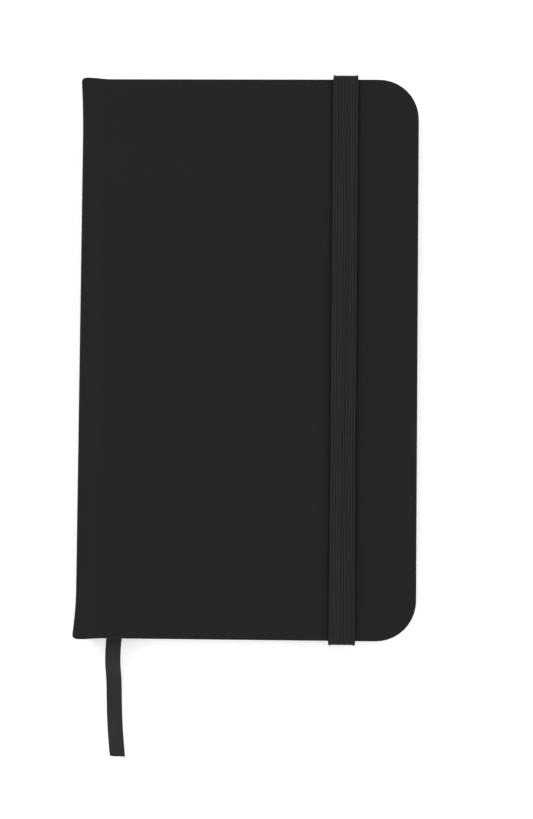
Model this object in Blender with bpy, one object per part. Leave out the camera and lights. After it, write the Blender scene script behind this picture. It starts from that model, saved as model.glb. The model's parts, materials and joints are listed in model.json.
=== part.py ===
"""Hardcover pocket notebook: a sewn block of ruled paper in a leatherette case that
opens flat at its ribbon marker, held shut by an elastic band over the front cover.

Metres, +Z up. The notebook lies on its back cover. X runs from the spine to the
fore-edge, Y from the tail to the head. The origin is under the middle of the case.
"""

import math

import bmesh
import bpy
from mathutils import Vector

MM = 0.001

# The closed case
COVER_HEIGHT = 140 * MM
COVER_WIDTH = 84 * MM
THICKNESS = 14.5 * MM
CORNER_RADIUS = 10 * MM

# Layers, from the outside of a cover inwards
SKIN = 0.35 * MM
BOARD = 1.4 * MM
TURN_IN_THICKNESS = 0.2 * MM
TURN_IN_WIDTH = 12 * MM
ENDPAPER = 0.15 * MM
GAP = 0.15 * MM

# The spine strip of the case, and the slit where the case bends
SPINE_DEPTH = 2.0 * MM
HINGE_SLIT = 0.3 * MM

# The block of paper
SQUARE = 3 * MM
GUTTER_FROM_SPINE = 3.4 * MM
SECTIONS_PER_HALF = 3
FOLD_ROUNDING = 0.45
LINING = 0.25 * MM
THREAD_RADIUS = 0.2 * MM
STITCH_STATIONS = 6
STITCH_SPAN = 110 * MM

# The ribbon marker
RIBBON_WIDTH = 3.85 * MM
RIBBON_THICKNESS = 0.25 * MM
RIBBON_FROM_SPINE = 8.75 * MM
RIBBON_HEAD_FROM_SPINE = 6.4 * MM
RIBBON_TAIL_REACH = 30.1 * MM
RIBBON_TAIL_DRIFT = 0.3 * MM
RIBBON_BEND = 9 * MM
RIBBON_START_STRAIGHT = 1.2 * MM
RIBBON_FLOOR_CLEARANCE = 0.1 * MM
RIBBON_GLUED_LENGTH = 18 * MM

# The elastic band
BAND_WIDTH = 6.3 * MM
BAND_THICKNESS = 0.8 * MM
BAND_FROM_FORE_EDGE = 18.3 * MM
BAND_ANCHOR_LENGTH = 15 * MM
BAND_ANCHOR_DEPTH = 0.55 * MM

ARC_SEGMENTS = 6

# Planes that several pieces share
LEFT = -COVER_WIDTH / 2
RIGHT = COVER_WIDTH / 2
HALF_HEIGHT = COVER_HEIGHT / 2
COVER_LEFT = LEFT + SPINE_DEPTH + HINGE_SLIT
BOARD_BOTTOM = SKIN + GAP
BOARD_TOP = BOARD_BOTTOM + BOARD
TURN_IN_BOTTOM = BOARD_TOP + GAP
COVER_DEPTH = TURN_IN_BOTTOM + TURN_IN_THICKNESS
PASTEDOWN_BOTTOM = COVER_DEPTH + GAP
FLYLEAF_BOTTOM = PASTEDOWN_BOTTOM + ENDPAPER + GAP
BLOCK_BOTTOM = FLYLEAF_BOTTOM + ENDPAPER + GAP
MIDDLE = THICKNESS / 2
HALF_BLOCK_TOP = MIDDLE - RIBBON_THICKNESS / 2 - GAP
SECTION = (HALF_BLOCK_TOP - BLOCK_BOTTOM - (SECTIONS_PER_HALF - 1) * GAP) / SECTIONS_PER_HALF
PAGE_LEFT = LEFT + GUTTER_FROM_SPINE
PAGE_RIGHT = RIGHT - SQUARE
PAGE_HALF_HEIGHT = HALF_HEIGHT - SQUARE
PAGE_CORNER = CORNER_RADIUS - SQUARE
THREAD_X = PAGE_LEFT - GAP - THREAD_RADIUS
LINING_RIGHT = THREAD_X - THREAD_RADIUS - GAP
BAND_X = RIGHT - BAND_FROM_FORE_EDGE
BAND_INNER_Y = HALF_HEIGHT + GAP
BAND_BOTTOM = BOARD_TOP - BAND_ANCHOR_DEPTH

# Joint axes, all parallel to Y: (x, z)
SPINE_AXIS = (LEFT, 0.0)
COVER_AXIS = (LEFT, THICKNESS)
PAGES_AXIS = (LINING_RIGHT - LINING - 0.35 * MM, MIDDLE)


def empty_scene():
    """Removes every object, and makes the collections for the parts and the cutters."""
    for obj in list(bpy.data.objects):
        bpy.data.objects.remove(obj, do_unlink=True)
    made = []
    for name in ("pocket_notebook", "cutters"):
        collection = bpy.data.collections.new(name)
        bpy.context.scene.collection.children.link(collection)
        made.append(collection)
    return made


def principled(name, colour, roughness):
    """A non-metal Principled material."""
    material = bpy.data.materials.new(name)
    material.use_nodes = True
    shader = material.node_tree.nodes["Principled BSDF"]
    shader.inputs["Base Color"].default_value = (*colour, 1.0)
    shader.inputs["Roughness"].default_value = roughness
    shader.inputs["Metallic"].default_value = 0.0
    return material


def joint_empty(name, axis):
    """An empty on a joint's axis, for the pieces that the joint moves."""
    empty = bpy.data.objects.new(name, None)
    empty.location = (axis[0], 0.0, axis[1])
    PARTS.objects.link(empty)
    return empty


def arc(centre, radius, start, end, segments=ARC_SEGMENTS):
    """Points on an arc from start to end, in degrees."""
    points = []
    for i in range(segments + 1):
        angle = math.radians(start + (end - start) * i / segments)
        points.append(
            (centre[0] + radius * math.cos(angle), centre[1] + radius * math.sin(angle))
        )
    return points


def leaf_outline(left, right, half_height, radius):
    """A page or cover seen from above: square at the spine, round at the fore-edge."""
    x = right - radius
    y = half_height - radius
    outline = [(left, -half_height)]
    outline += arc((x, -y), radius, -90, 0)
    outline += arc((x, y), radius, 0, 90)
    outline.append((left, half_height))
    return outline


def rectangle(low_x, high_x, low_y, high_y):
    return [(low_x, low_y), (high_x, low_y), (high_x, high_y), (low_x, high_y)]


def mesh_from_curve(name, curve, collection):
    """The curve's solid as a mesh object with welded caps."""
    source = bpy.data.objects.new(name + "_curve", curve)
    bpy.context.scene.collection.objects.link(source)
    bpy.context.view_layer.update()
    evaluated = source.evaluated_get(bpy.context.evaluated_depsgraph_get())
    mesh = bpy.data.meshes.new_from_object(evaluated)
    bpy.data.objects.remove(source, do_unlink=True)
    work = bmesh.new()
    work.from_mesh(mesh)
    bmesh.ops.remove_doubles(work, verts=work.verts, dist=1e-6)
    bmesh.ops.recalc_face_normals(work, faces=work.faces)
    work.to_mesh(mesh)
    work.free()
    mesh.name = name
    obj = bpy.data.objects.new(name, mesh)
    collection.objects.link(obj)
    return obj


def extruded(name, outline, thickness, collection):
    """A flat outline with its thickness centred on the local XY plane."""
    curve = bpy.data.curves.new(name, "CURVE")
    curve.dimensions = "2D"
    curve.fill_mode = "BOTH"
    curve.extrude = thickness / 2
    spline = curve.splines.new("POLY")
    spline.points.add(len(outline) - 1)
    for point, (x, y) in zip(spline.points, outline):
        point.co = (x, y, 0.0, 1.0)
    spline.use_cyclic_u = True
    return mesh_from_curve(name, curve, collection)


def finish(obj, material, parent=None):
    """Gives a part its material, and hangs it on its joint's empty where it has one."""
    obj.data.materials.clear()
    obj.data.materials.append(material)
    if parent is not None:
        obj.parent = parent
        obj.location = Vector(obj.location) - Vector(parent.location)
    return obj


def sheet(name, outline, low, high, material, parent=None):
    """A flat part between two heights."""
    obj = extruded(name, outline, high - low, PARTS)
    obj.location.z = (low + high) / 2
    return finish(obj, material, parent)


def block(name, low, high, collection):
    """A box between two corners."""
    bpy.ops.mesh.primitive_cube_add(size=1)
    obj = bpy.context.object
    obj.name = name
    obj.data.name = name
    for owner in list(obj.users_collection):
        owner.objects.unlink(obj)
    collection.objects.link(obj)
    size = Vector(high) - Vector(low)
    for vertex in obj.data.vertices:
        vertex.co = Vector((vertex.co.x * size.x, vertex.co.y * size.y, vertex.co.z * size.z))
    obj.location = (Vector(low) + Vector(high)) / 2
    return obj


def cutter(obj):
    """Marks an object as a cutting tool."""
    obj.hide_render = True
    obj.display_type = "WIRE"
    return obj


def cut(obj, tool):
    """Takes the tool's shape out of a part."""
    boolean = obj.modifiers.new(tool.name, "BOOLEAN")
    boolean.operation = "DIFFERENCE"
    boolean.solver = "EXACT"
    boolean.object = tool


def mirrored(low, high, front):
    """The same two heights, counted from the top of the notebook for a front piece."""
    if front:
        return THICKNESS - high, THICKNESS - low
    return low, high


def cutting_plate(name, outline, low, high, front):
    low, high = mirrored(low, high, front)
    tool = extruded(name, outline, high - low, CUTTERS)
    tool.location.z = (low + high) / 2
    return cutter(tool)


def anchor_slot(side):
    """The slot where one end of the band goes in over the back board."""
    clear = BAND_WIDTH / 2 + GAP
    inner = HALF_HEIGHT - BAND_ANCHOR_LENGTH - GAP
    outer = HALF_HEIGHT + SQUARE
    low_y, high_y = sorted((side * inner, side * outer))
    tool = block(
        "anchor_slot_head" if side > 0 else "anchor_slot_tail",
        (BAND_X - clear, low_y, BAND_BOTTOM - GAP),
        (BAND_X + clear, high_y, COVER_DEPTH + BOARD),
        CUTTERS,
    )
    return cutter(tool)


def build_cover(prefix, front, parent, materials, slots=()):
    """A cover: leatherette turned in over a board, and the pastedown that hides its edges."""
    outline = leaf_outline(COVER_LEFT, RIGHT, HALF_HEIGHT, CORNER_RADIUS)
    skin = sheet(prefix + "_cover_skin", outline, *mirrored(0.0, COVER_DEPTH, front), materials["skin"], parent)
    pocket = leaf_outline(COVER_LEFT + SKIN, RIGHT - SKIN, HALF_HEIGHT - SKIN, CORNER_RADIUS - SKIN)
    cut(skin, cutting_plate(prefix + "_board_pocket", pocket, SKIN, TURN_IN_BOTTOM, front))
    window = rectangle(
        COVER_LEFT + TURN_IN_WIDTH,
        RIGHT - TURN_IN_WIDTH,
        TURN_IN_WIDTH - HALF_HEIGHT,
        HALF_HEIGHT - TURN_IN_WIDTH,
    )
    window_bottom = BOARD_TOP - BOARD / 2
    cut(skin, cutting_plate(prefix + "_turn_in_window", window, window_bottom, COVER_DEPTH + BOARD, front))

    inset = SKIN + GAP
    outline = leaf_outline(COVER_LEFT + inset, RIGHT - inset, HALF_HEIGHT - inset, CORNER_RADIUS - inset)
    board = sheet(
        prefix + "_cover_board", outline, *mirrored(BOARD_BOTTOM, BOARD_TOP, front), materials["board"], parent
    )
    for slot in slots:
        cut(skin, slot)
        cut(board, slot)

    outline = leaf_outline(PAGE_LEFT, PAGE_RIGHT, PAGE_HALF_HEIGHT, PAGE_CORNER)
    heights = mirrored(PASTEDOWN_BOTTOM, PASTEDOWN_BOTTOM + ENDPAPER, front)
    sheet(prefix + "_pastedown", outline, *heights, materials["endpaper"], parent)


def build_spine(parent, materials):
    """The case's spine: a shallow leatherette tray, open to the pages, round its stiffener."""
    skin = block(
        "spine_skin",
        (LEFT, -HALF_HEIGHT, 0.0),
        (LEFT + SPINE_DEPTH, HALF_HEIGHT, THICKNESS),
        PARTS,
    )
    pocket = block(
        "spine_pocket",
        (LEFT + SKIN, SKIN - HALF_HEIGHT, SKIN),
        (LEFT + 2 * SPINE_DEPTH, HALF_HEIGHT - SKIN, THICKNESS - SKIN),
        CUTTERS,
    )
    cut(skin, cutter(pocket))
    finish(skin, materials["skin"], parent)
    inset = SKIN + GAP
    board = block(
        "spine_board",
        (LEFT + inset, inset - HALF_HEIGHT, inset),
        (LEFT + SPINE_DEPTH - GAP, HALF_HEIGHT - inset, THICKNESS - inset),
        PARTS,
    )
    finish(board, materials["board"], parent)


def build_section(number, front, index, parent, materials):
    """A folded and sewn section: its fold, at the spine, is rounded. Index counts from the cover."""
    low = BLOCK_BOTTOM + index * (SECTION + GAP)
    heights = mirrored(low, low + SECTION, front)
    outline = leaf_outline(PAGE_LEFT, PAGE_RIGHT, PAGE_HALF_HEIGHT, PAGE_CORNER)
    section = sheet(f"section_{number}", outline, *heights, materials["paper"], parent)
    work = bmesh.new()
    work.from_mesh(section.data)
    fold = [
        edge
        for edge in work.edges
        if abs((edge.verts[0].co - edge.verts[1].co).y) > COVER_HEIGHT / 2
        and all(abs(vertex.co.x - PAGE_LEFT) < GAP for vertex in edge.verts)
    ]
    bmesh.ops.bevel(
        work, geom=fold, offset=FOLD_ROUNDING * SECTION, segments=3, profile=0.5, affect="EDGES"
    )
    work.to_mesh(section.data)
    work.free()


def build_half_block(front, parents, materials):
    """Half of the block, with its flyleaf, its share of the lining and its sewing thread."""
    side = "front" if front else "rear"
    outline = leaf_outline(PAGE_LEFT, PAGE_RIGHT, PAGE_HALF_HEIGHT, PAGE_CORNER)
    heights = mirrored(FLYLEAF_BOTTOM, FLYLEAF_BOTTOM + ENDPAPER, front)
    sheet(side + "_flyleaf", outline, *heights, materials["endpaper"], parents[0])
    for index in range(SECTIONS_PER_HALF):
        number = index + 1 if front else 2 * SECTIONS_PER_HALF - index
        build_section(number, front, index, parents[index], materials)

    low, high = mirrored(BLOCK_BOTTOM, HALF_BLOCK_TOP, front)
    lining = block(
        side + "_spine_lining",
        (LINING_RIGHT - LINING, -PAGE_HALF_HEIGHT, low),
        (LINING_RIGHT, PAGE_HALF_HEIGHT, high),
        PARTS,
    )
    finish(lining, materials["lining"], parents[0])
    finish(sewing_thread(side + "_sewing_thread", low, high), materials["thread"], parents[0])


def sewing_thread(name, low, high):
    """One thread that steps across the folds at each stitch station."""
    curve = bpy.data.curves.new(name, "CURVE")
    curve.dimensions = "3D"
    curve.bevel_depth = THREAD_RADIUS
    curve.bevel_resolution = 1
    curve.use_fill_caps = True
    heights = (low + SECTION / 2, high - SECTION / 2)
    points = []
    for station in range(STITCH_STATIONS):
        y = STITCH_SPAN * (station / (STITCH_STATIONS - 1) - 0.5)
        first, second = heights if station % 2 == 0 else reversed(heights)
        points += [(THREAD_X, y, first), (THREAD_X, y, second)]
    spline = curve.splines.new("POLY")
    spline.points.add(len(points) - 1)
    for point, place in zip(spline.points, points):
        point.co = (*place, 1.0)
    return mesh_from_curve(name, curve, PARTS)


def side_profile(name, outline, width):
    """An outline drawn in Y and Z, as wide as given along X, centred on x = 0."""
    obj = extruded(name, outline, width, PARTS)
    obj.rotation_euler = (math.pi / 2, 0.0, math.pi / 2)
    return obj


def build_band(parent, materials):
    """The elastic: over the front cover, down past the head and tail, and in over the back board."""
    inner_top = THICKNESS + GAP
    outer_top = inner_top + BAND_THICKNESS
    outer_y = BAND_INNER_Y + BAND_THICKNESS
    corner = BAND_THICKNESS
    outline = [(BAND_INNER_Y, BAND_BOTTOM), (outer_y, BAND_BOTTOM)]
    outline += arc((outer_y - corner, outer_top - corner), corner, 0, 90)
    outline += arc((corner - outer_y, outer_top - corner), corner, 90, 180)
    outline += [(-outer_y, BAND_BOTTOM), (-BAND_INNER_Y, BAND_BOTTOM)]
    outline += [(-BAND_INNER_Y, inner_top), (BAND_INNER_Y, inner_top)]
    band = side_profile("elastic_band", outline, BAND_WIDTH)
    band.location.x = BAND_X
    finish(band, materials["elastic"], parent)
    for side, name in ((1, "elastic_anchor_head"), (-1, "elastic_anchor_tail")):
        low_y, high_y = sorted((side * (HALF_HEIGHT - BAND_ANCHOR_LENGTH), side * HALF_HEIGHT))
        anchor = block(
            name,
            (BAND_X - BAND_WIDTH / 2, low_y, BAND_BOTTOM),
            (BAND_X + BAND_WIDTH / 2, high_y, BAND_BOTTOM + BAND_THICKNESS),
            PARTS,
        )
        finish(anchor, materials["elastic"])


def tail_centreline():
    """(distance out from the block's tail, height) along the ribbon's free end, which drops
    in an S with two even bends to the surface the notebook lies on."""
    rest = RIBBON_THICKNESS / 2 + RIBBON_FLOOR_CLEARANCE
    drop = MIDDLE - rest
    turn = math.acos(1 - drop / (2 * RIBBON_BEND))
    run = RIBBON_BEND * math.sin(turn)
    points = [(GAP, MIDDLE)]
    steps = 8
    for i in range(steps + 1):
        angle = turn * i / steps
        points.append(
            (
                RIBBON_START_STRAIGHT + RIBBON_BEND * math.sin(angle),
                MIDDLE - RIBBON_BEND * (1 - math.cos(angle)),
            )
        )
    for i in range(1, steps + 1):
        angle = turn * (1 - i / steps)
        points.append(
            (
                RIBBON_START_STRAIGHT + 2 * run - RIBBON_BEND * math.sin(angle),
                rest + RIBBON_BEND * (1 - math.cos(angle)),
            )
        )
    points.append((RIBBON_TAIL_REACH, rest))
    return points


def offset_line(points, distance):
    """The same line moved sideways in its own plane."""
    moved = []
    for i, (x, z) in enumerate(points):
        before = Vector(points[max(i - 1, 0)])
        after = Vector(points[min(i + 1, len(points) - 1)])
        along = (after - before).normalized()
        moved.append((x - along.y * distance, z + along.x * distance))
    return moved


def build_ribbon(materials):
    """The marker: glued to the lining at the head, laid between the middle sections, free at the tail."""
    half = RIBBON_WIDTH / 2
    tail_x = LEFT + RIBBON_FROM_SPINE
    head_x = LEFT + RIBBON_HEAD_FROM_SPINE
    glue_top = PAGE_HALF_HEIGHT - SQUARE
    glue_bottom = glue_top - RIBBON_WIDTH
    gutter = LINING_RIGHT - LINING
    outline = [
        (tail_x - half, -HALF_HEIGHT),
        (tail_x + half, -HALF_HEIGHT),
        (head_x + half, glue_bottom - half),
        (gutter, glue_top),
        (gutter, glue_bottom),
        (head_x - half, glue_bottom - 2 * half),
    ]
    low = MIDDLE - RIBBON_THICKNESS / 2
    sheet("ribbon_marker_run", outline, low, low + RIBBON_THICKNESS, materials["ribbon"])

    thickness = LINING / 2
    right = gutter - GAP / 2
    glued = block(
        "ribbon_glued_end",
        (right - thickness, glue_top - RIBBON_GLUED_LENGTH, HALF_BLOCK_TOP - RIBBON_WIDTH),
        (right, glue_top, HALF_BLOCK_TOP),
        PARTS,
    )
    finish(glued, materials["ribbon"])

    line = tail_centreline()
    upper = offset_line(line, RIBBON_THICKNESS / 2)
    lower = offset_line(line, -RIBBON_THICKNESS / 2)
    tail = side_profile("ribbon_marker_tail", lower + upper[::-1], RIBBON_WIDTH)
    drift = math.atan2(RIBBON_TAIL_DRIFT, RIBBON_TAIL_REACH)
    tail.rotation_euler.z -= math.pi - drift
    tail.location = (tail_x, -HALF_HEIGHT - half * math.sin(drift), 0.0)
    finish(tail, materials["ribbon"])


def build():
    materials = {
        "skin": principled("cover_leatherette", (0.020, 0.020, 0.0185), 0.62),
        "board": principled("greyboard", (0.30, 0.27, 0.23), 0.9),
        "endpaper": principled("endpaper", (0.80, 0.76, 0.66), 0.8),
        "paper": principled("page_paper", (0.84, 0.81, 0.72), 0.85),
        "lining": principled("lining_cloth", (0.70, 0.68, 0.62), 0.9),
        "thread": principled("sewing_thread", (0.85, 0.84, 0.80), 0.7),
        "elastic": principled("elastic_webbing", (0.022, 0.022, 0.021), 0.8),
        "ribbon": principled("ribbon_satin", (0.033, 0.033, 0.034), 0.5),
    }
    spine = joint_empty("spine_axis", SPINE_AXIS)
    front = joint_empty("front_cover_axis", COVER_AXIS)
    pages = [joint_empty(f"section_{i + 1}_axis", PAGES_AXIS) for i in range(SECTIONS_PER_HALF)]
    band = joint_empty("band_axis", (BAND_X, THICKNESS))

    build_cover("back", False, None, materials, [anchor_slot(1), anchor_slot(-1)])
    build_cover("front", True, front, materials)
    build_spine(spine, materials)
    build_half_block(False, [None] * SECTIONS_PER_HALF, materials)
    build_half_block(True, pages, materials)
    build_ribbon(materials)
    build_band(band, materials)
    bpy.context.view_layer.update()


PARTS, CUTTERS = empty_scene()
build()
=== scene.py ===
"""Looks of the pocket notebook: leatherette case, leaves, ribbed elastic and satin ribbon,
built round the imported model. Metres, in the row's frame."""

import json
import math

import bmesh
import bpy
from mathutils import Euler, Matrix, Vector


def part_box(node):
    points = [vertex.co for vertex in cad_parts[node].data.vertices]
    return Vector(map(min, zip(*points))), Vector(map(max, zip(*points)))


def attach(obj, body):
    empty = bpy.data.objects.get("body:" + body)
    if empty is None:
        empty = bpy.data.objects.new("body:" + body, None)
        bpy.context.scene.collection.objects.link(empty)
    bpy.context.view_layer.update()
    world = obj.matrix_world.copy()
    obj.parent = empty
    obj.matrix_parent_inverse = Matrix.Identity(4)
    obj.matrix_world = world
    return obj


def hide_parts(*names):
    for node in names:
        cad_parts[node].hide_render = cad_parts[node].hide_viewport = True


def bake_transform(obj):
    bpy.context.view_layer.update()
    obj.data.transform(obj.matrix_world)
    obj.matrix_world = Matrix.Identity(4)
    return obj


MM = 0.001

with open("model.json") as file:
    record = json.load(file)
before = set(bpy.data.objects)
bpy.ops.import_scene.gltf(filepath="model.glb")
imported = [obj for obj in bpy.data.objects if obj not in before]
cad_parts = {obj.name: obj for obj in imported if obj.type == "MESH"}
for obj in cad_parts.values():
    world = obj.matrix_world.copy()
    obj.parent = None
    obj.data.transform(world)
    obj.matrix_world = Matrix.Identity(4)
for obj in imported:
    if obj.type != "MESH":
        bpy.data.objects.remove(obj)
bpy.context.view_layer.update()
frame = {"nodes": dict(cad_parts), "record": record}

# From the frame
COVER_LOW, COVER_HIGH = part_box("front_cover_skin")
SPINE_LOW, SPINE_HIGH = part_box("spine_skin")
BAND_LOW, BAND_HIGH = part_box("elastic_band")
RUN_LOW, RUN_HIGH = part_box("ribbon_marker_run")
PAGE_LOW, PAGE_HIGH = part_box("section_1")
LEFT = SPINE_LOW.x
RIGHT = COVER_HIGH.x
HALF_HEIGHT = COVER_HIGH.y
THICKNESS = COVER_HIGH.z
MIDDLE = THICKNESS / 2
COVER_DEPTH = COVER_HIGH.z - COVER_LOW.z
SPINE_DEPTH = SPINE_HIGH.x - SPINE_LOW.x
BAND_CENTRE = (BAND_LOW.x + BAND_HIGH.x) / 2
BAND_HALF_WIDTH = (BAND_HIGH.x - BAND_LOW.x) / 2
BODY_NODES = frame["record"]["behaviour"]["bodies"]

# Edges that turn by more than this look sharp
SHARP_TURN = math.radians(50)

# Case
CORNER_RADIUS = 10 * MM
CORNER_STEPS = 10
FORE_EDGE_STEPS = 36
FOLD_RADIUS = 0.8 * MM
QUARTER_FOLD = math.pi * FOLD_RADIUS / 2
SKIN = 0.28 * MM
HEAD_FLARE = 0.6 * MM
HEAD_FLARE_REACH = 15 * MM
TAIL_FLARE = 0.95 * MM
TAIL_FLARE_REACH = 12 * MM
FLARE_WIDTH = 6 * MM
SPINE_SWELL = 0.2 * MM
HEAD_LIFT = 0.42 * MM
TAIL_DROP = 0.3 * MM
SPINE_CORNER = 1.0 * MM
GROOVE_AT = 6.4 * MM
GROOVE_DEPTH = 0.09 * MM
GROOVE_WIDTH = 1.8 * MM
DENT_DEPTH = 0.12 * MM
DENT_EDGE = 0.9 * MM
# Painted highlight: a lighter strip along the fold, this far from the spine's edge and this wide
FOLD_HIGHLIGHT_AT = 3.5 * MM
FOLD_HIGHLIGHT_WIDTH = 1.8 * MM
# Painted shade beside the band, for its shadow on the front cover: the distance over which it
# halves, and how dark it is at the band's edge
BAND_SHADE_REACH = 0.7 * MM
BAND_SHADE_STRENGTH = 0.62

# Rim of the case, from the face round the edge to the turned-in side:
# (inset in millimetres, share of the depth)
RIM = (
    (1.60, 0.000),
    (1.00, 0.008),
    (0.60, 0.030),
    (0.32, 0.075),
    (0.13, 0.150),
    (0.03, 0.270),
    (0.00, 0.420),
    (0.00, 0.600),
    (0.03, 0.740),
    (0.13, 0.860),
    (0.32, 0.940),
    (0.60, 0.985),
    (1.00, 1.000),
    (4.60, 1.000),
)

# Pages
PAGE_CORNER = 7 * MM
LEAVES = 16
LEAF_JITTER = 0.06 * MM
LEAF_GAP_SHARE = 0.12
FOLD_DEPTH = 0.55 * MM
CLOSE_UP = 0.14 * MM
RULING = 6.0 * MM
RULE_WIDTH = 0.16 * MM
HEAD_MARGIN = 12 * MM

# Band
BAND_RIBS = 9
BAND_BODY = 0.70 * MM
RIB_HEIGHT = 0.18 * MM
SELVEDGE = 0.13 * MM
BAND_TURN = 1.1 * MM
BAND_TAIL_SPREAD = 0.06
BAND_OFF_EDGE = 0.24 * MM
BAND_OFF_COVER = 0.04 * MM
BAND_LIFT = 0.1 * MM
BAND_IN_SLOT = 1.2 * MM
BAND_TURN_INSIDE = 0.25 * MM
BAND_THIN_EDGE = 0.1 * MM
# Length of one stitch of the covering, along the band
STITCH = 0.42 * MM

# Ribbon
RIBBON_WIDTH = 3.85 * MM
RIBBON_THICKNESS = 0.22 * MM
RIBBON_START_X = LEFT + 8.75 * MM
RIBBON_HEAD_FROM_SPINE = 6.4 * MM
RIBBON_HEAD_TURN = 8 * MM
RIBBON_HEAD_RISE = 6 * MM
RIBBON_WAVE = 0.25 * MM
RIBBON_BEAD = 0.03 * MM
WEFT_PITCH = 0.21 * MM
RIBBON_BEND = 9 * MM
RIBBON_START_STRAIGHT = 1.2 * MM
FLOOR_CLEARANCE = 0.1 * MM
TAIL_REACH = 30.1 * MM
# The tail's swing over a distance d is TAIL_TURN * d + TAIL_CURL * d * d, in metres
TAIL_TURN = -0.0817
TAIL_CURL = 3.32
CUT_SLANT = 0.25 * MM
CUT_WAVE = 0.05 * MM

# Studio
FLOOR_SIZE = 8.0
FLOOR_BELOW = 0.1 * MM
FLOOR_GLOW = 0.30
WORLD_STRENGTH = 1.0
# (name, place, size, watts)
LAMPS = (
    ("key_light", (-0.75, 0.35, 0.85), 0.7, 3.2),
    ("fill_light", (0.80, -0.30, 0.80), 0.9, 2.4),
)
LENS = 100.0
SENSOR_HEIGHT = 36.0
CLIP_END = 20.0
CAMERA_PLACE = Vector((26.46, -49.11, 577.3)) * MM
CAMERA_TURN_DEGREES = (3.692, 2.183, 0.568)


def scatter(seed):
    """A fixed number from -1 to 1 for each seed."""
    value = math.sin(seed * 12.9898 + 4.1414) * 43758.5453
    return 2 * (value - math.floor(value)) - 1


def ease(t):
    t = min(max(t, 0.0), 1.0)
    return t * t * (3 - 2 * t)


# ---------------------------------------------------------------- materials


class Nodes:
    """Short calls for building one material's nodes."""

    def __init__(self, name):
        self.material = bpy.data.materials.new(name)
        self.material.use_nodes = True
        self.tree = self.material.node_tree
        self.shader = self.tree.nodes["Principled BSDF"]
        self.shader.inputs["Metallic"].default_value = 0.0

    def add(self, kind):
        return self.tree.nodes.new(kind)

    def link(self, source, target):
        self.tree.links.new(source, target)

    def set(self, socket, value):
        self.shader.inputs[socket].default_value = value

    def coordinates(self, kind="Object"):
        return self.add("ShaderNodeTexCoord").outputs[kind]

    def axes(self, vector):
        """The X, Y and Z of a vector, by name."""
        node = self.add("ShaderNodeSeparateXYZ")
        self.link(vector, node.inputs["Vector"])
        return node.outputs

    def drawn_out(self, vector, share):
        """The coordinates with Y shrunk to a share, which draws patterns out along Y."""
        node = self.add("ShaderNodeMapping")
        node.inputs["Scale"].default_value = (1.0, share, 1.0)
        self.link(vector, node.inputs["Vector"])
        return node.outputs["Vector"]

    def noise(self, vector, scale, detail=3.0, roughness=0.5):
        node = self.add("ShaderNodeTexNoise")
        node.inputs["Scale"].default_value = scale
        node.inputs["Detail"].default_value = detail
        node.inputs["Roughness"].default_value = roughness
        self.link(vector, node.inputs["Vector"])
        return node.outputs["Fac"]

    def ramp(self, value, *stops):
        """Colours over a value, from (place, colour) pairs."""
        node = self.add("ShaderNodeValToRGB")
        elements = node.color_ramp.elements
        while len(elements) < len(stops):
            elements.new(0.5)
        for element, (place, colour) in zip(elements, stops):
            element.position = place
            element.color = (*colour, 1.0)
        self.link(value, node.inputs["Fac"])
        return node.outputs["Color"]

    def tint(self, colour, share, second):
        """A colour mixed with a fixed second one by a share."""
        node = self.add("ShaderNodeMix")
        node.data_type = "RGBA"
        factor, first, other = node.inputs[0], node.inputs[6], node.inputs[7]
        other.default_value = (*second, 1.0)
        self.link(share, factor)
        self.link(colour, first)
        return node.outputs[2]

    def spread(self, value, low, high):
        """value from 0..1 to low..high."""
        node = self.add("ShaderNodeMapRange")
        node.inputs["To Min"].default_value = low
        node.inputs["To Max"].default_value = high
        self.link(value, node.inputs["Value"])
        return node.outputs["Result"]

    def math(self, operation, first, second=None):
        node = self.add("ShaderNodeMath")
        node.operation = operation
        for socket, value in zip(node.inputs, (first, second)):
            if value is None:
                continue
            if isinstance(value, (int, float)):
                socket.default_value = value
            else:
                self.link(value, socket)
        return node.outputs["Value"]

    def bump(self, height, distance, strength=1.0, normal=None):
        node = self.add("ShaderNodeBump")
        node.inputs["Strength"].default_value = strength
        node.inputs["Distance"].default_value = distance
        self.link(height, node.inputs["Height"])
        if normal is not None:
            self.link(normal, node.inputs["Normal"])
        return node.outputs["Normal"]

    def to(self, socket, source):
        self.link(source, self.shader.inputs[socket])


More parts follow.
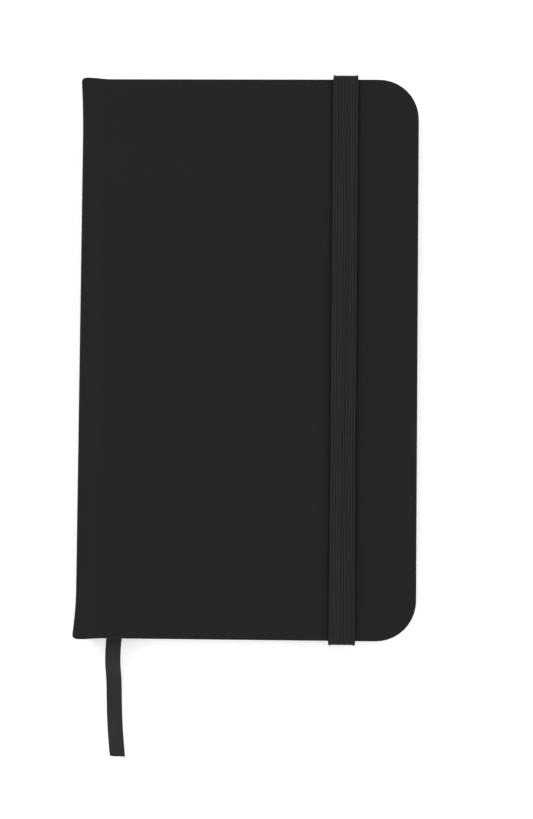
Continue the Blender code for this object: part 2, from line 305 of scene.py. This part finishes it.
def leatherette():
    """Soft-touch polyurethane: near black, very fine grain, the board under it slightly uneven.
    It is darker beside the band, painted shade for the band's shadow on the cover, and a little
    lighter along the fold, a painted highlight."""
    n = Nodes("case_leatherette")
    where = n.coordinates()
    axes = n.axes(where)
    blotches = n.noise(where, scale=55.0, detail=2.0)
    colour = n.ramp(blotches, (0.3, (0.0102, 0.0102, 0.0088)), (0.7, (0.0107, 0.0107, 0.0093)))

    # Painted shade: the front cover darkens beside the band, standing in for the band's shadow.
    aside = n.math("ABSOLUTE", n.math("SUBTRACT", axes["X"], BAND_CENTRE))
    past = n.math("MAXIMUM", n.math("SUBTRACT", aside, BAND_HALF_WIDTH), 0.0)
    band_shade_falloff = n.math("POWER", 0.5, n.math("DIVIDE", past, BAND_SHADE_REACH))
    on_front = n.math("GREATER_THAN", axes["Z"], MIDDLE)
    darker = n.math("MULTIPLY", n.math("MULTIPLY", band_shade_falloff, on_front), BAND_SHADE_STRENGTH)
    colour = n.tint(colour, darker, (0.0055, 0.0055, 0.0048))

    # Painted highlight: a lighter strip along the fold.
    from_strip = n.math("SUBTRACT", axes["X"], LEFT + FOLD_HIGHLIGHT_AT)
    widths = n.math("ABSOLUTE", n.math("DIVIDE", from_strip, FOLD_HIGHLIGHT_WIDTH))
    fold_painted_highlight = n.math("POWER", 0.5, n.math("POWER", widths, 2.0))
    n.to("Base Color", n.tint(colour, fold_painted_highlight, (0.0112, 0.0112, 0.0098)))

    wear = n.noise(where, scale=900.0, detail=3.0)
    n.to("Roughness", n.spread(wear, 0.56, 0.70))
    n.set("Specular IOR Level", 0.09)
    board = n.bump(n.noise(where, scale=130.0, detail=2.0), distance=0.04 * MM, strength=0.25)
    pores = n.noise(where, scale=4200.0, detail=4.0, roughness=0.6)
    n.to("Normal", n.bump(pores, distance=0.018 * MM, strength=0.45, normal=board))
    return n.material


def paper(name, tint, ruled):
    """Uncoated ivory paper, with or without ruled lines on its faces."""
    n = Nodes(name)
    where = n.coordinates()
    fibres = n.noise(where, scale=1500.0, detail=5.0, roughness=0.65)
    darker = tuple(0.955 * c for c in tint)
    colour = n.ramp(fibres, (0.25, darker), (0.75, tint))
    if ruled:
        y = n.axes(where)["Y"]
        # Whole lines are added so that MODULO never meets a negative number
        along = n.math("ADD", y, 20 * RULING + RULING / 2)
        line = n.math("LESS_THAN", n.math("MODULO", along, RULING), RULE_WIDTH)
        upright = n.math("ABSOLUTE", n.axes(n.coordinates("Normal"))["Z"])
        on_face = n.math("GREATER_THAN", upright, 0.8)
        below_head = n.math("LESS_THAN", y, PAGE_HIGH.y - HEAD_MARGIN)
        printed = n.math("MULTIPLY", n.math("MULTIPLY", line, on_face), below_head)
        colour = n.tint(colour, printed, (0.40, 0.40, 0.41))
    n.to("Base Color", colour)
    n.to("Roughness", n.spread(fibres, 0.82, 0.95))
    n.set("Specular IOR Level", 0.25)
    n.to("Normal", n.bump(fibres, distance=0.02 * MM, strength=0.5))
    return n.material


def greyboard():
    """Pressed waste-paper board, mottled with fibres."""
    n = Nodes("greyboard_fibres")
    specks = n.noise(n.coordinates(), scale=2200.0, detail=6.0, roughness=0.75)
    n.to("Base Color", n.ramp(specks, (0.3, (0.24, 0.215, 0.18)), (0.7, (0.36, 0.325, 0.28))))
    n.to("Roughness", n.spread(specks, 0.85, 0.97))
    n.to("Normal", n.bump(specks, distance=0.05 * MM, strength=0.6))
    return n.material


def woven(name, colour, pitch, roughness, specular):
    """Plain weave: two sets of threads at right angles, the given pitch apart."""
    n = Nodes(name)
    where = n.coordinates()
    axes = n.axes(where)
    turn = 2 * math.pi / pitch
    warp = n.math("SINE", n.math("MULTIPLY", axes["X"], turn))
    weft = n.math("SINE", n.math("MULTIPLY", axes["Y"], turn))
    height = n.spread(n.math("MULTIPLY", warp, weft), 0.5, 1.0)
    fuzz = n.noise(where, scale=0.6 / pitch, detail=3.0)
    level = n.math("MULTIPLY", height, n.spread(fuzz, 0.8, 1.2))
    low = tuple(0.72 * c for c in colour)
    high = tuple(1.22 * c for c in colour)
    n.to("Base Color", n.ramp(level, (0.35, low), (1.0, high)))
    n.to("Roughness", n.spread(fuzz, roughness - 0.06, roughness + 0.06))
    n.set("Specular IOR Level", specular)
    n.to("Normal", n.bump(level, distance=0.08 * MM, strength=0.7))
    return n.material


def elastic_material():
    """Covered elastic: each rib is wrapped in short slanting stitches. U runs across, V along."""
    n = Nodes("elastic_covering")
    where = n.coordinates("UV")
    axes = n.axes(where)
    rib_pitch = 2 * BAND_HALF_WIDTH / BAND_RIBS
    across = n.math("MULTIPLY", axes["X"], 2 * math.pi / rib_pitch)
    along = n.math("MULTIPLY", axes["Y"], 2 * math.pi / STITCH)
    stitch = n.spread(n.math("SINE", n.math("ADD", along, across)), 0.72, 1.0)
    # Painted shade: the colour is darkest in the valleys between the ribs and lightest on their
    # crests.
    rib = n.math("ABSOLUTE", n.math("COSINE", n.math("MULTIPLY", across, 0.5)))
    streaks = n.noise(n.drawn_out(where, 0.12), scale=2600.0, detail=4.0, roughness=0.7)
    cords = n.noise(n.drawn_out(where, 0.004), scale=900.0, detail=1.0, roughness=0.4)
    tone = n.math("MULTIPLY", n.spread(streaks, 0.6, 1.4), n.spread(cords, 0.45, 1.50))
    level = n.math("MULTIPLY", n.math("MULTIPLY", stitch, n.spread(rib, 0.48, 1.1)), tone)
    dark = (0.0050, 0.0050, 0.0045)
    light = (0.0205, 0.0205, 0.0190)
    n.to("Base Color", n.ramp(level, (0.1, dark), (0.9, light)))
    n.to("Roughness", n.spread(streaks, 0.70, 0.92))
    n.set("Specular IOR Level", 0.12)
    n.to("Normal", n.bump(level, distance=0.06 * MM, strength=0.55))
    return n.material


def satin_material():
    """Satin ribbon: fine weft across, long floats along. U runs across, V along."""
    n = Nodes("ribbon_satin_weave")
    where = n.coordinates("UV")
    weft = n.math("SINE", n.math("MULTIPLY", n.axes(where)["Y"], 2 * math.pi / WEFT_PITCH))
    floats = n.noise(n.drawn_out(where, 0.06), scale=4200.0, detail=3.0, roughness=0.7)
    level = n.math("ADD", n.spread(weft, 0.0, 0.35), n.spread(floats, 0.1, 0.65))
    dark = (0.0175, 0.0172, 0.0175)
    light = (0.0240, 0.0237, 0.0240)
    n.to("Base Color", n.ramp(level, (0.2, dark), (0.8, light)))
    n.to("Roughness", n.spread(floats, 0.46, 0.62))
    n.set("Specular IOR Level", 0.10)
    n.set("Anisotropic", 0.4)
    n.to("Normal", n.bump(level, distance=0.03 * MM, strength=0.5))
    return n.material


def floor_material():
    """White floor that gives off a little light, so that it shows as plain white."""
    n = Nodes("studio_floor")
    soft = n.noise(n.coordinates(), scale=3.0, detail=2.0)
    n.to("Base Color", n.ramp(soft, (0.3, (0.90, 0.90, 0.90)), (0.7, (0.91, 0.91, 0.91))))
    n.set("Roughness", 0.9)
    n.set("Specular IOR Level", 0.1)
    n.to("Emission Color", n.ramp(soft, (0.3, (0.98, 0.98, 0.98)), (0.7, (1.0, 1.0, 1.0))))
    n.set("Emission Strength", FLOOR_GLOW)
    return n.material


SKIN_MATERIAL = leatherette()
LEAF_MATERIAL = paper("ruled_page_paper", (0.70, 0.675, 0.59), True)
ENDPAPER_MATERIAL = paper("endpaper_stock", (0.66, 0.63, 0.545), False)
BOARD_MATERIAL = greyboard()
LINING_MATERIAL = woven("mull_cloth", (0.66, 0.64, 0.58), 0.55 * MM, 0.9, 0.2)
THREAD_MATERIAL = woven("linen_thread", (0.80, 0.79, 0.74), 0.3 * MM, 0.75, 0.3)
ELASTIC_MATERIAL = elastic_material()
ANCHOR_MATERIAL = woven("elastic_end_weave", (0.016, 0.016, 0.0155), 0.45 * MM, 0.8, 0.25)
RIBBON_MATERIAL = satin_material()


# ---------------------------------------------------------------- mesh helpers


def new_piece(name, mesh, material, join=0.0):
    """An object with a material, its faces turned outwards and points closer than join merged."""
    work = bmesh.new()
    work.from_mesh(mesh)
    if join:
        bmesh.ops.remove_doubles(work, verts=work.verts, dist=join)
    bmesh.ops.recalc_face_normals(work, faces=work.faces)
    work.to_mesh(mesh)
    work.free()
    mesh.materials.append(material)
    piece = bpy.data.objects.new(name, mesh)
    bpy.context.scene.collection.objects.link(piece)
    return piece


def new_mesh(name, vertices, faces):
    mesh = bpy.data.meshes.new(name)
    mesh.from_pydata([tuple(v) for v in vertices], [], faces)
    return mesh


def thicken(piece, thickness):
    """Gives a sheet its thickness, inwards, in the mesh itself."""
    solidify = piece.modifiers.new("thickness", "SOLIDIFY")
    solidify.thickness = thickness
    solidify.offset = -1.0
    seen = piece.evaluated_get(bpy.context.evaluated_depsgraph_get())
    piece.data = bpy.data.meshes.new_from_object(seen)
    piece.modifiers.clear()


def grid_faces(rows, columns, start=0):
    """Quads between rows of points that are listed row by row."""
    faces = []
    for i in range(rows - 1):
        for j in range(columns - 1):
            a = start + i * columns + j
            faces.append((a, a + 1, a + columns + 1, a + columns))
    return faces


# ---------------------------------------------------------------- case


def flare(y):
    """How far the spine stands out where the skin is turned in at the head and the tail."""
    head = (y - (HALF_HEIGHT - HEAD_FLARE_REACH)) / HEAD_FLARE_REACH
    tail = (-y - (HALF_HEIGHT - TAIL_FLARE_REACH)) / TAIL_FLARE_REACH
    swell = HEAD_FLARE * max(head, 0.0) ** 2 + TAIL_FLARE * max(tail, 0.0) ** 1.8
    share = min(max(1 - (HALF_HEIGHT - abs(y)) / SPINE_CORNER, 0.0), 1.0)
    return SPINE_SWELL + swell - SPINE_CORNER * (1 - math.sqrt(1 - share * share))


def case_point(s, y, share, rear):
    """The case's outer surface rolled out flat: s runs from the fold at the spine's edge over
    the cover, and below zero down the spine. share goes in from the surface, 1 being the
    whole depth of the cover or the spine."""
    down = share * COVER_DEPTH
    inward = share * SPINE_DEPTH
    if s >= 0:
        x = LEFT + max(FOLD_RADIUS + s, inward)
        on_face = 1 - ease(4 * share)
        groove = math.exp(-(((s - GROOVE_AT) / GROOVE_WIDTH) ** 2))
        beside_band = (abs(x - BAND_CENTRE) - BAND_HALF_WIDTH) / DENT_EDGE
        dent = 0 if rear else 1 - ease((beside_band + 1) / 2)
        z = THICKNESS - down - (GROOVE_DEPTH * groove + DENT_DEPTH * dent) * on_face
    elif s > -QUARTER_FOLD:
        angle = -s / FOLD_RADIUS
        x = LEFT + max(FOLD_RADIUS, inward) - max(FOLD_RADIUS - inward, 0.0) * math.sin(angle)
        z = THICKNESS - max(FOLD_RADIUS, down) + max(FOLD_RADIUS - down, 0.0) * math.cos(angle)
    else:
        x = LEFT + inward
        z = THICKNESS - max(FOLD_RADIUS - s - QUARTER_FOLD, down)
    near_spine = 1 - ease(s / FLARE_WIDTH)
    x -= flare(y) * near_spine * (1 - share)
    pull = near_spine * ease((abs(y) - HALF_HEIGHT / 2) / (HALF_HEIGHT / 2))
    y += (HEAD_LIFT if y > 0 else -TAIL_DROP) * pull
    return Vector((x, y, THICKNESS - z if rear else z))


def case_stations():
    """Values of s from the middle of the spine to where the fore-edge corners begin."""
    middle = MIDDLE - THICKNESS + FOLD_RADIUS - QUARTER_FOLD
    spine_steps, fold_steps, groove_steps, cover_steps, dent_steps = 8, 6, 16, 12, 4
    spine = [middle + (-QUARTER_FOLD - middle) * i / spine_steps for i in range(spine_steps)]
    fold = [-QUARTER_FOLD * (1 - i / fold_steps) for i in range(fold_steps)]
    groove = [0.6 * MM * i for i in range(groove_steps + 1)]
    end = RIGHT - LEFT - FOLD_RADIUS - CORNER_RADIUS
    left_over = end - groove[-1]
    cover = [groove[-1] + left_over * i / cover_steps for i in range(1, cover_steps + 1)]
    band = BAND_CENTRE - LEFT - FOLD_RADIUS
    dents = [
        band + side * (BAND_HALF_WIDTH + DENT_EDGE * i / dent_steps)
        for side in (-1, 1)
        for i in range(-dent_steps, dent_steps + 1)
    ]
    return spine + fold + groove + sorted(cover[:-1] + dents) + cover[-1:]


def case_outline(stations, shares, inset):
    """(s, y) from the tail end of the spine, round the fore-edge, to its head end."""
    end = stations[-1]
    radius = CORNER_RADIUS - inset
    centre_y = HALF_HEIGHT - CORNER_RADIUS
    tail_side = [(s, inset - HALF_HEIGHT) for s in stations]
    for i in range(1, CORNER_STEPS + 1):
        angle = math.pi / 2 * i / CORNER_STEPS
        corner = (end + radius * math.sin(angle), -centre_y - radius * math.cos(angle))
        tail_side.append(corner)
    fore_edge = [(end + radius, centre_y * (2 * place - 1)) for place in shares[1:-1]]
    head_side = [(s, -y) for s, y in reversed(tail_side)]
    return tail_side + fore_edge + head_side


def case_half(name, rear):
    """Half of the case's skin, as one sheet: a cover, its turned-in rim and half of the spine."""
    stations = case_stations()
    columns = FORE_EDGE_STEPS + 1
    shares = [0.5 - 0.5 * math.cos(math.pi * j / FORE_EDGE_STEPS) for j in range(columns)]

    rim = [case_outline(stations, shares, inset * MM) for inset, _ in RIM]
    vertices = [
        case_point(s, y, share, rear)
        for outline, (_, share) in zip(rim, RIM)
        for s, y in outline
    ]
    faces = grid_faces(len(rim), len(rim[0]))

    pairs = len(stations) + CORNER_STEPS
    faces += grid_faces(pairs, columns, len(vertices))
    for s, low in rim[0][:pairs]:
        vertices += [case_point(s, low * (1 - 2 * place), 0.0, rear) for place in shares]

    mesh = new_mesh(name, vertices, faces)
    mesh.validate()
    skin = new_piece(name, mesh, SKIN_MATERIAL, join=0.0001 * MM)
    skin.data.shade_smooth()
    thicken(skin, SKIN)
    skin.data.set_sharp_from_angle(angle=SHARP_TURN)
    return skin


front_skin = case_half("front_case_skin", False)
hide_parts("front_cover_skin")
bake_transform(front_skin)
rear_skin = case_half("rear_case_skin", True)
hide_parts("back_cover_skin", "spine_skin")
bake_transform(rear_skin)


# ---------------------------------------------------------------- leaves


def leaf_outline(left, right, half_height, radius):
    """(x, y) round a leaf: square at the fold, round at the fore-edge."""
    steps = 8
    centre_x = right - radius
    points = [(left, -half_height)]
    for centre_y, first in ((radius - half_height, -90), (half_height - radius, 0)):
        for i in range(steps + 1):
            angle = math.radians(first + 90 * i / steps)
            x = centre_x + radius * math.cos(angle)
            points.append((x, centre_y + radius * math.sin(angle)))
    points.append((left, half_height))
    return points


def build_section(number, low, high):
    """A sewn section as its separate leaves, which wrap round the fold at the spine."""
    pitch = (high - low) / LEAVES
    vertices = []
    faces = []
    for leaf in range(LEAVES):
        seed = 100 * number + leaf
        across = (leaf + 0.5) / (LEAVES / 2) - 1
        fold = FOLD_DEPTH * (1 - math.sqrt(1 - across * across))
        outline = leaf_outline(
            PAGE_LOW.x + fold,
            PAGE_HIGH.x + LEAF_JITTER * scatter(seed),
            PAGE_HIGH.y + 0.4 * LEAF_JITTER * scatter(seed + 50),
            PAGE_CORNER,
        )
        bottom = low + pitch * (leaf + LEAF_GAP_SHARE / 2)
        top = low + pitch * (leaf + 1 - LEAF_GAP_SHARE / 2)
        first = len(vertices)
        count = len(outline)
        for z in (bottom, top):
            vertices += [(x, y, z) for x, y in outline]
        faces.append(tuple(range(first, first + count))[::-1])
        faces.append(tuple(range(first + count, first + 2 * count)))
        for i in range(count):
            j = (i + 1) % count
            faces.append((first + i, first + j, first + count + j, first + count + i))
    name = f"leaves_{number}"
    mesh = new_mesh(name, vertices, faces)
    mesh.validate()
    section = new_piece(name, mesh, LEAF_MATERIAL, join=0.0001 * MM)
    node = f"section_{number}"
    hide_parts(node)
    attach(section, next(body for body, nodes in BODY_NODES.items() if node in nodes))


def build_block():
    """Six sections, each a little thicker than its solid, so that the block looks shut."""
    for number in range(1, 7):
        low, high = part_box(f"section_{number}")
        build_section(number, low.z - CLOSE_UP / 2, high.z + CLOSE_UP / 2)


build_block()


# ---------------------------------------------------------------- strips: band and ribbon


def direction(path, i):
    """The unit direction of a path at its point i."""
    before = Vector(path[max(i - 1, 0)])
    after = Vector(path[min(i + 1, len(path) - 1)])
    return (after - before).normalized()


def level_sides(path, width):
    """The half-width vectors of a strip that lies flat, pointing to the fore-edge. The first
    one runs straight across, so that two strips that start at one point join up."""
    sides = [Vector((width / 2, 0, 0))]
    for i in range(1, len(path)):
        along = direction(path, i)
        side = Vector((along.y, -along.x, 0)).normalized() * width / 2
        sides.append(side if side.x > 0 else -side)
    return sides


def strip(name, path, normals, sides, profile_top, profile_bottom, material):
    """A flat band swept along a path. The profiles are (share of the half-width, height)
    pairs, and sides gives each point's half-width vector."""
    ring = profile_top + profile_bottom[::-1]
    vertices = []
    uvs = []
    travelled = 0.0
    for i, (place, normal, side) in enumerate(zip(path, normals, sides)):
        if i:
            travelled += (Vector(place) - Vector(path[i - 1])).length
        for share, height in ring:
            vertices.append(Vector(place) + Vector(side) * share + Vector(normal) * height)
            uvs.append((share * Vector(side).length, travelled))
    count = len(ring)
    faces = []
    for i in range(len(path) - 1):
        for j in range(count):
            a = i * count + j
            b = i * count + (j + 1) % count
            faces.append((a, b, b + count, a + count))
    faces.append(tuple(range(count))[::-1])
    faces.append(tuple(range((len(path) - 1) * count, len(path) * count)))
    mesh = new_mesh(name, vertices, faces)
    layer = mesh.uv_layers.new(name="strip")
    for loop in mesh.loops:
        layer.data[loop.index].uv = uvs[loop.vertex_index]
    piece = new_piece(name, mesh, material)
    piece.data.shade_smooth()
    piece.data.set_sharp_from_angle(angle=SHARP_TURN)
    return piece


def band_path():
    """(y, z) of the band's middle: out of the slot at the head, over the cover, in at the tail."""
    half = BAND_BODY / 2
    out = HALF_HEIGHT + BAND_OFF_EDGE + half
    top = THICKNESS + BAND_OFF_COVER + half
    bottom = BAND_LOW.z + BAND_LIFT + half
    slot_turn = out - HALF_HEIGHT + BAND_TURN_INSIDE
    slot_steps, rise_steps, turn_steps, run_steps = 6, 12, 8, 60
    head = [(HALF_HEIGHT - BAND_IN_SLOT, bottom)]
    for i in range(slot_steps + 1):
        angle = math.pi / 2 * i / slot_steps
        y = out - slot_turn + slot_turn * math.sin(angle)
        head.append((y, bottom + slot_turn * (1 - math.cos(angle))))
    low = head[-1][1]
    rise = top - BAND_TURN - low
    head += [(out, low + rise * i / rise_steps) for i in range(1, rise_steps)]
    for i in range(turn_steps + 1):
        angle = math.pi / 2 * i / turn_steps
        y = out - BAND_TURN * (1 - math.cos(angle))
        head.append((y, top - BAND_TURN * (1 - math.sin(angle))))
    run = head[-1][0]
    middle = [(run * (1 - 2 * i / run_steps), top) for i in range(1, run_steps)]
    return head + middle + [(-y, z) for y, z in reversed(head)]


def band_profile():
    """Round ribs on top, firmer towards both edges and thin at the very edge; flat below."""
    steps = BAND_RIBS * 8
    top = []
    for i in range(steps + 1):
        share = 2 * i / steps - 1
        rib = abs(math.sin(math.pi * BAND_RIBS * i / steps)) ** 0.6
        edge = ease((abs(share) - 0.72) / 0.2)
        fall = ease((1 - abs(share)) / 0.06)
        height = BAND_BODY / 2 + RIB_HEIGHT * (rib - 0.5) + SELVEDGE * edge
        top.append((share, height * (0.25 + 0.75 * fall)))
    bottom = [(share, -BAND_BODY / 2) for share in (-0.96, 0.0, 0.96)]
    return top, [(-1.0, -BAND_THIN_EDGE), *bottom, (1.0, -BAND_THIN_EDGE)]


def build_band():
    """It widens a little towards the tail."""
    path = [(BAND_CENTRE, y, z) for y, z in band_path()]
    sides = []
    for _, y, _ in path:
        wider = 1 + BAND_TAIL_SPREAD * ease(-(y + HALF_HEIGHT / 2) / (HALF_HEIGHT / 2))
        sides.append(Vector((BAND_HALF_WIDTH * wider, 0, 0)))
    normals = [direction(path, i).cross(Vector((1, 0, 0))) for i in range(len(path))]
    band = strip("ribbed_elastic", path, normals, sides, *band_profile(), ELASTIC_MATERIAL)
    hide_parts("elastic_band")
    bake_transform(band)


build_band()


def ribbon_profile():
    """Flat, with slightly thicker edges."""
    steps = 12
    top = []
    for i in range(steps + 1):
        share = 2 * i / steps - 1
        bead = ease((abs(share) - 0.8) / 0.15) * ease((1.0 - abs(share)) / 0.04)
        top.append((share, RIBBON_THICKNESS / 2 + RIBBON_BEAD * bead))
    bottom = [(share, -RIBBON_THICKNESS / 2) for share in (-1.0, -0.5, 0.0, 0.5, 1.0)]
    return top, bottom


def tail_x(distance):
    """The tail swings a little towards the spine, then back towards the fore-edge."""
    return RIBBON_START_X + TAIL_TURN * distance + TAIL_CURL * distance * distance


def tail_path():
    """Level out of the block, down in an S, then along the surface."""
    rest = RIBBON_THICKNESS / 2 + FLOOR_CLEARANCE
    drop = MIDDLE - rest
    turn = math.acos(1 - drop / (2 * RIBBON_BEND))
    run = RIBBON_BEND * math.sin(turn)
    bend_steps, flat_steps = 12, 8
    points = [(0.0, MIDDLE), (RIBBON_START_STRAIGHT / 2, MIDDLE)]
    for i in range(bend_steps + 1):
        angle = turn * i / bend_steps
        distance = RIBBON_START_STRAIGHT + RIBBON_BEND * math.sin(angle)
        points.append((distance, MIDDLE - RIBBON_BEND * (1 - math.cos(angle))))
    landing = RIBBON_START_STRAIGHT + 2 * run
    for i in range(1, bend_steps + 1):
        angle = turn * (1 - i / bend_steps)
        distance = landing - RIBBON_BEND * math.sin(angle)
        points.append((distance, rest + RIBBON_BEND * (1 - math.cos(angle))))
    left_over = TAIL_REACH - landing
    for i in range(1, flat_steps + 1):
        points.append((landing + left_over * i / flat_steps, rest))
    return [(tail_x(distance), -HALF_HEIGHT - distance, z) for distance, z in points]


def build_ribbon():
    """The free tail past the block, and the run inside the block."""
    top, bottom = ribbon_profile()
    path = tail_path()
    sides = level_sides(path, RIBBON_WIDTH)
    normals = []
    for i, side in enumerate(sides):
        normal = side.normalized().cross(direction(path, i))
        normals.append(normal if normal.z > 0 else -normal)
    tail = strip("satin_tail", path, normals, sides, top, bottom, RIBBON_MATERIAL)
    ring = len(top) + len(bottom)
    for vertex in tail.data.vertices[-ring:]:
        share = 2 * (vertex.co.x - path[-1][0]) / RIBBON_WIDTH
        vertex.co.y += -CUT_SLANT * share + CUT_WAVE * math.sin(5.5 * share)
    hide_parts("ribbon_marker_tail")
    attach(tail, "back_cover")

    run = run_path(path[0])
    upward = [Vector((0, 0, 1))] * len(run)
    sides = level_sides(run, RIBBON_WIDTH)
    inside = strip("satin_run", run, upward, sides, top, bottom, RIBBON_MATERIAL)
    for vertex in inside.data.vertices:
        vertex.co.x = max(vertex.co.x, RUN_LOW.x)
    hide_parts("ribbon_marker_run")
    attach(inside, "back_cover")


def run_path(start):
    """Between the middle pages: nearly straight to the head, then off into the gutter."""
    head_x = LEFT + RIBBON_HEAD_FROM_SPINE
    turn_y = RUN_HIGH.y - RIBBON_HEAD_TURN
    run_steps, turn_steps = 44, 8
    points = []
    for i in range(run_steps + 1):
        share = i / run_steps
        wave = RIBBON_WAVE * math.sin(7 * share) * math.sin(math.pi * share)
        x = start[0] + (head_x - start[0]) * ease(share) + wave
        points.append(Vector((x, start[1] + share * (turn_y - start[1]), MIDDLE)))
    corner = points[-1]
    for i in range(1, turn_steps + 1):
        share = i / turn_steps
        x = corner.x + (RUN_LOW.x - corner.x) * share * share
        points.append(Vector((x, corner.y + RIBBON_HEAD_RISE * share, MIDDLE)))
    return points


build_ribbon()


# ---------------------------------------------------------------- CAD pieces that stay

KEPT = {
    "front_cover_board": BOARD_MATERIAL,
    "back_cover_board": BOARD_MATERIAL,
    "spine_board": BOARD_MATERIAL,
    "front_pastedown": ENDPAPER_MATERIAL,
    "back_pastedown": ENDPAPER_MATERIAL,
    "front_flyleaf": ENDPAPER_MATERIAL,
    "rear_flyleaf": ENDPAPER_MATERIAL,
    "front_spine_lining": LINING_MATERIAL,
    "rear_spine_lining": LINING_MATERIAL,
    "front_sewing_thread": THREAD_MATERIAL,
    "rear_sewing_thread": THREAD_MATERIAL,
    "elastic_anchor_head": ANCHOR_MATERIAL,
    "elastic_anchor_tail": ANCHOR_MATERIAL,
    "ribbon_glued_end": RIBBON_MATERIAL,
}
for node, material in KEPT.items():
    materials = frame["nodes"][node].data.materials
    materials.clear()
    materials.append(material)


# ---------------------------------------------------------------- studio


def build_studio():
    """White floor under a white sky, with two large lamps."""
    bpy.ops.mesh.primitive_plane_add(size=FLOOR_SIZE, location=(0, 0, -FLOOR_BELOW))
    floor = bpy.context.object
    floor.name = "studio_floor"
    floor.data.materials.append(floor_material())

    world = bpy.data.worlds.new("studio_world")
    bpy.context.scene.world = world
    world.use_nodes = True
    background = world.node_tree.nodes["Background"]
    background.inputs["Color"].default_value = (1.0, 1.0, 1.0, 1.0)
    background.inputs["Strength"].default_value = WORLD_STRENGTH

    for name, place, size, power in LAMPS:
        light = bpy.data.lights.new(name, "AREA")
        light.shape = "SQUARE"
        light.size = size
        light.energy = power
        lamp = bpy.data.objects.new(name, light)
        lamp.location = place
        lamp.rotation_euler = (-Vector(place)).to_track_quat("-Z", "Y").to_euler()
        bpy.context.scene.collection.objects.link(lamp)


def build_camera():
    """Nearly straight above the front cover, leaning a few degrees towards the tail."""
    camera = bpy.data.cameras.new("camera")
    camera.lens = LENS
    camera.sensor_fit = "VERTICAL"
    camera.sensor_height = SENSOR_HEIGHT
    camera.clip_end = CLIP_END
    viewer = bpy.data.objects.new("camera", camera)
    viewer.location = CAMERA_PLACE
    viewer.rotation_euler = Euler([math.radians(turn) for turn in CAMERA_TURN_DEGREES])
    bpy.context.scene.collection.objects.link(viewer)
    bpy.context.scene.camera = viewer


build_studio()
build_camera()
bpy.context.scene.view_settings.view_transform = "Standard"
